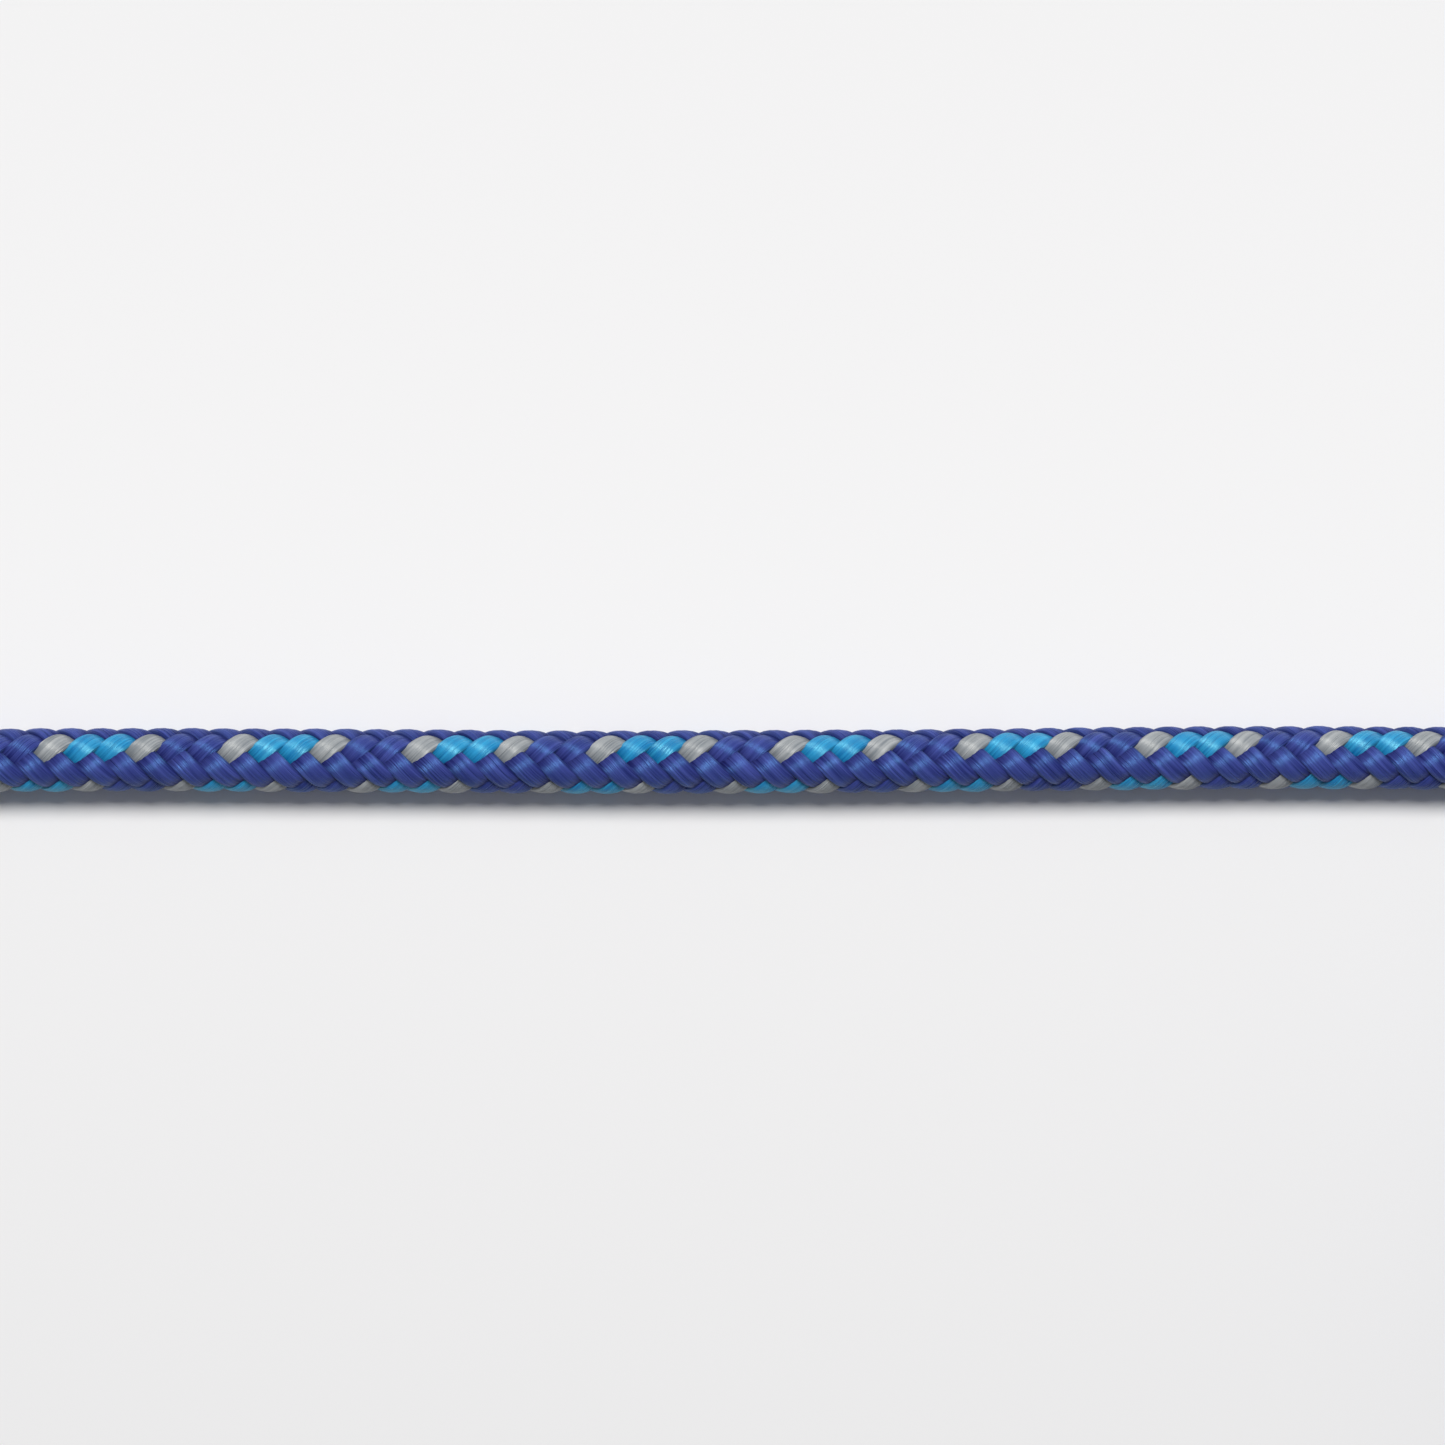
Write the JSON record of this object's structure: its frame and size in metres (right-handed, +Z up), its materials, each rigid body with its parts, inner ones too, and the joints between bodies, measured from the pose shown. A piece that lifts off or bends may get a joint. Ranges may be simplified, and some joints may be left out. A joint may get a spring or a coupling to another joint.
{
  "type": "dynamic climbing rope",
  "caption": "Round braided climbing rope in blues and grey, with a straight first stretch, the rest folded into a tied hank, and both ends sealed and sleeved.",
  "frame": {"origin": "on the ground, under the middle of the whole rope's bounding box", "axes": "+X along the straight run, from its free end towards the hank; +Y across it; +Z up"},
  "size_m": [0.5554, 0.1484, 0.0434],
  "materials": {
    "sheath": "glossy braided polyamide yarn",
    "core": "twisted white polyamide yarn",
    "marker": "thread",
    "sleeve": "satin shrink tube",
    "melted_tip": "melted polyamide",
    "strap": "woven webbing"
  },
  "bodies": {
    "root": {"run_sheath": "sheath", "core_strand_1": "core", "core_strand_2": "core", "core_strand_3": "core", "core_strand_4": "core", "core_strand_5": "core", "core_strand_6": "core", "core_strand_7": "core", "core_strand_8": "core", "core_strand_9": "core", "core_strand_10": "core", "core_strand_11": "core", "core_strand_12": "core", "core_strand_13": "core", "marker_thread": "marker", "run_end_sleeve": "sleeve", "run_sealed_tip": "melted_tip", "hank": "sheath", "hank_end_sleeve": "sleeve", "hank_sealed_tip": "melted_tip", "hank_tie": "strap"}
  },
  "joints": []
}
